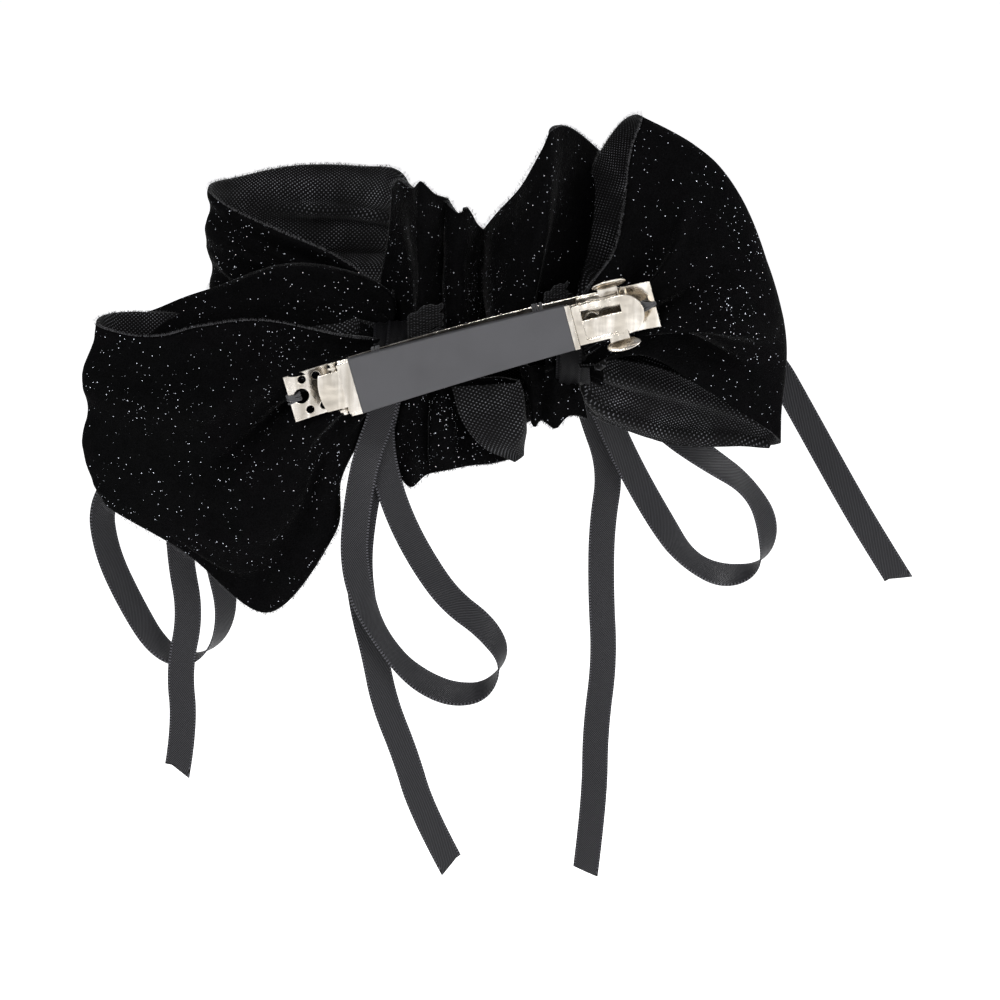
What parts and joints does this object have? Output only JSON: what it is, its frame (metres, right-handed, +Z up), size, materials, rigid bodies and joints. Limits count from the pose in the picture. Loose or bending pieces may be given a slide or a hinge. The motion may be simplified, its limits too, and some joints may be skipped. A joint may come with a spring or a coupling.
{
  "type": "hair bow",
  "caption": "Glitter-velvet hair bow gathered at both ends of a puffed middle, with hanging satin ribbons, on an arched snap barrette with squeeze tabs.",
  "frame": {"origin": "middle of the base plate's hair side, where the hair lies", "axes": "+X along the bow, +Z up as worn, +Y out from the head"},
  "size_m": [0.1862, 0.0534, 0.1784],
  "materials": {
    "nickel": "bright nickel plate",
    "sleeve": "matt dark grey soft vinyl",
    "thread": "black sewing thread",
    "velvet": "black stretch velvet with fine glitter, knit backing",
    "satin": "black single-face satin ribbon"
  },
  "bodies": {
    "bow": {"base_plate": "nickel", "hinge_pin": "nickel", "latch_web": "nickel", "latch_rivet": "nickel", "left_end_stitch": "thread", "right_end_stitch": "thread", "left_gather_stitch": "thread", "right_gather_stitch": "thread", "left_gather": "velvet", "right_gather": "velvet", "left_lower_loop": "velvet", "left_middle_fold": "velvet", "left_upper_loop": "velvet", "top_left_fold": "velvet", "top_inner_fold": "velvet", "top_centre_fold": "velvet", "right_fan": "velvet", "right_lower_panel": "velvet", "bottom_left_ruffle": "velvet", "bottom_right_ruffle": "velvet", "centre_puff": "velvet", "left_cinch": "satin", "right_cinch": "satin", "left_knot": "satin", "right_knot": "satin", "left_ribbon_outer_loop": "satin", "left_ribbon_outer_tail": "satin", "left_ribbon_inner_loop": "satin", "left_ribbon_inner_tail": "satin", "right_ribbon_inner_tail": "satin", "right_ribbon_loop": "satin", "right_ribbon_outer_tail": "satin"},
    "clasp": {"clasp_bar": "nickel", "bar_sleeve": "sleeve"},
    "middle_spring": {"tension_spring": "nickel"},
    "upper_arm": {"upper_latch_arm": "nickel"},
    "lower_arm": {"lower_latch_arm": "nickel"}
  },
  "joints": [
    {"name": "clasp_hinge", "type": "hinge", "parent": "bow", "child": "clasp", "pos_m": [-0.02801, -0.008, -0.00751], "axis": [0.2588, 0, -0.9659], "range_deg": [0, 80]},
    {"name": "spring_swing", "type": "hinge", "parent": "bow", "child": "middle_spring", "pos_m": [-0.02801, -0.008, -0.00751], "axis": [0.2588, 0, -0.9659], "range_deg": [0, 2.5]},
    {"name": "upper_latch", "type": "slide", "parent": "bow", "child": "upper_arm", "axis": [0.2588, 0, -0.9659], "range_m": [0, 0.0008]},
    {"name": "lower_latch", "type": "slide", "parent": "bow", "child": "lower_arm", "axis": [-0.2588, 0, 0.9659], "range_m": [0, 0.0008]}
  ],
  "couplings": [
    {"joint": "lower_latch", "follows": "upper_latch", "ratio": 1}
  ]
}
